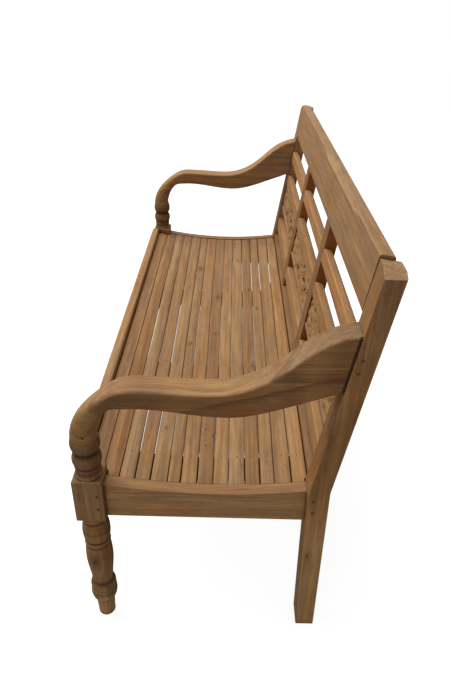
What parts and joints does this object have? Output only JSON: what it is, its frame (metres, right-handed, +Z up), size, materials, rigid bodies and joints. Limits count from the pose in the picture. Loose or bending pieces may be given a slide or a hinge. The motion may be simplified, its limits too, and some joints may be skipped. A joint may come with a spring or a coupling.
{
  "type": "bench",
  "caption": "Wooden garden bench with a dished slatted seat, turned front legs, curved arms and a raked back with carved openwork panels.",
  "frame": {"origin": "centre of the footprint on the ground, below the middle of the overall box", "axes": "+X along the bench to the sitter's left, -Y to the front, +Z up"},
  "size_m": [1.3, 0.5358, 0.8355],
  "materials": {
    "frame_teak": "satin",
    "seat_teak": "satin",
    "back_teak": "satin",
    "carved_teak": "satin",
    "peg_wood": "matte"
  },
  "bodies": {
    "root": {"arm_left": "frame_teak", "arm_right": "frame_teak", "back_post_left": "frame_teak", "back_post_right": "frame_teak", "back_rail": "frame_teak", "bearer_1": "frame_teak", "bearer_2": "frame_teak", "bearer_3": "frame_teak", "bearer_4": "frame_teak", "crest_rail": "back_teak", "divider_left": "back_teak", "divider_right": "back_teak", "end_rail_left": "frame_teak", "end_rail_right": "frame_teak", "front_leg_left": "frame_teak", "front_leg_right": "frame_teak", "front_rail": "frame_teak", "joint_pegs": "peg_wood", "panel_left": "carved_teak", "panel_middle": "carved_teak", "panel_right": "carved_teak", "rail_lower_left": "back_teak", "rail_lower_middle": "back_teak", "rail_lower_right": "back_teak", "rail_middle_left": "back_teak", "rail_middle_middle": "back_teak", "rail_middle_right": "back_teak", "rail_upper_left": "back_teak", "rail_upper_middle": "back_teak", "rail_upper_right": "back_teak", "slat_01": "seat_teak", "slat_02": "seat_teak", "slat_03": "seat_teak", "slat_04": "seat_teak", "slat_05": "seat_teak", "slat_06": "seat_teak", "slat_07": "seat_teak", "slat_08": "seat_teak", "slat_09": "seat_teak", "slat_10": "seat_teak", "slat_11": "seat_teak", "slat_12": "seat_teak", "slat_13": "seat_teak", "slat_14": "seat_teak", "slat_pins": "peg_wood"}
  },
  "joints": []
}
